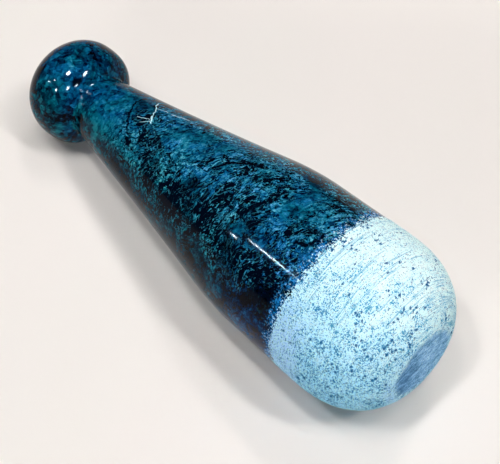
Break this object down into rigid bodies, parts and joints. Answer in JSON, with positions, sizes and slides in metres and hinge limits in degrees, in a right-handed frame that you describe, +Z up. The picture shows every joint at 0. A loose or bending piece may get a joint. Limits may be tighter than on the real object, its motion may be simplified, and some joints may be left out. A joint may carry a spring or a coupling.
{
  "type": "pestle",
  "caption": "Turned stone pestle lying on its side: round knob, narrow neck, tapering polished handle, stout head and a rough-ground grinding end with a flat tip.",
  "frame": {"origin": "middle of the pestle's box, on the surface that it lies on", "axes": "+Z up, +X along the pestle from the knob to the grinding tip, which is lifted a little; +Y to its left"},
  "size_m": [0.1686, 0.055, 0.0569],
  "materials": {
    "stone": "polished"
  },
  "bodies": {
    "root": {"pestle": "stone"}
  },
  "joints": []
}
